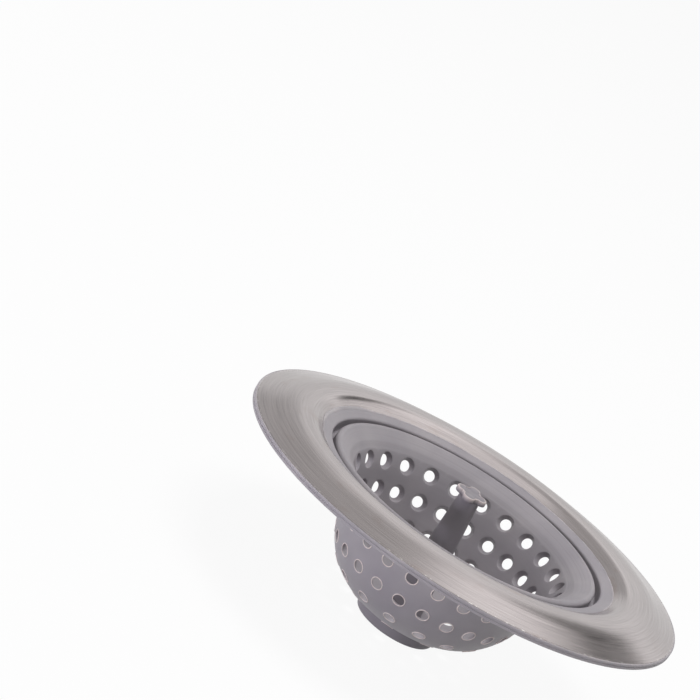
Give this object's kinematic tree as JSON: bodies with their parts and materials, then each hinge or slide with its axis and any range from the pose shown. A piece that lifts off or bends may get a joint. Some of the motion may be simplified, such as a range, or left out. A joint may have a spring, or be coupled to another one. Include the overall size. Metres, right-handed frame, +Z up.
{
  "type": "sink strainer",
  "caption": "Drop-in sink strainer: brushed steel rim round a flexible perforated silicone basket with a foot, a grip post and a basket that pushes inside out to empty.",
  "frame": {"origin": "middle of the foot's underside, on the axis of the basket", "axes": "+Z up along the axis, from the foot to the rim; +X through one hole of every row"},
  "size_m": [0.115, 0.115, 0.038],
  "materials": {
    "brushed_rim": "circular brushing, satin",
    "basket_silicone": "matt light grey silicone",
    "plug_silicone": "matt darker grey silicone"
  },
  "bodies": {
    "rim": {"steel_rim": "brushed_rim", "silicone_basket": "basket_silicone"},
    "plug": {"grip_plug": "plug_silicone"}
  },
  "joints": [
    {"name": "turn_out", "type": "slide", "parent": "rim", "child": "plug", "axis": [0, 0, 1], "range_m": [0, 0.053], "deforming": ["silicone_basket"]}
  ]
}
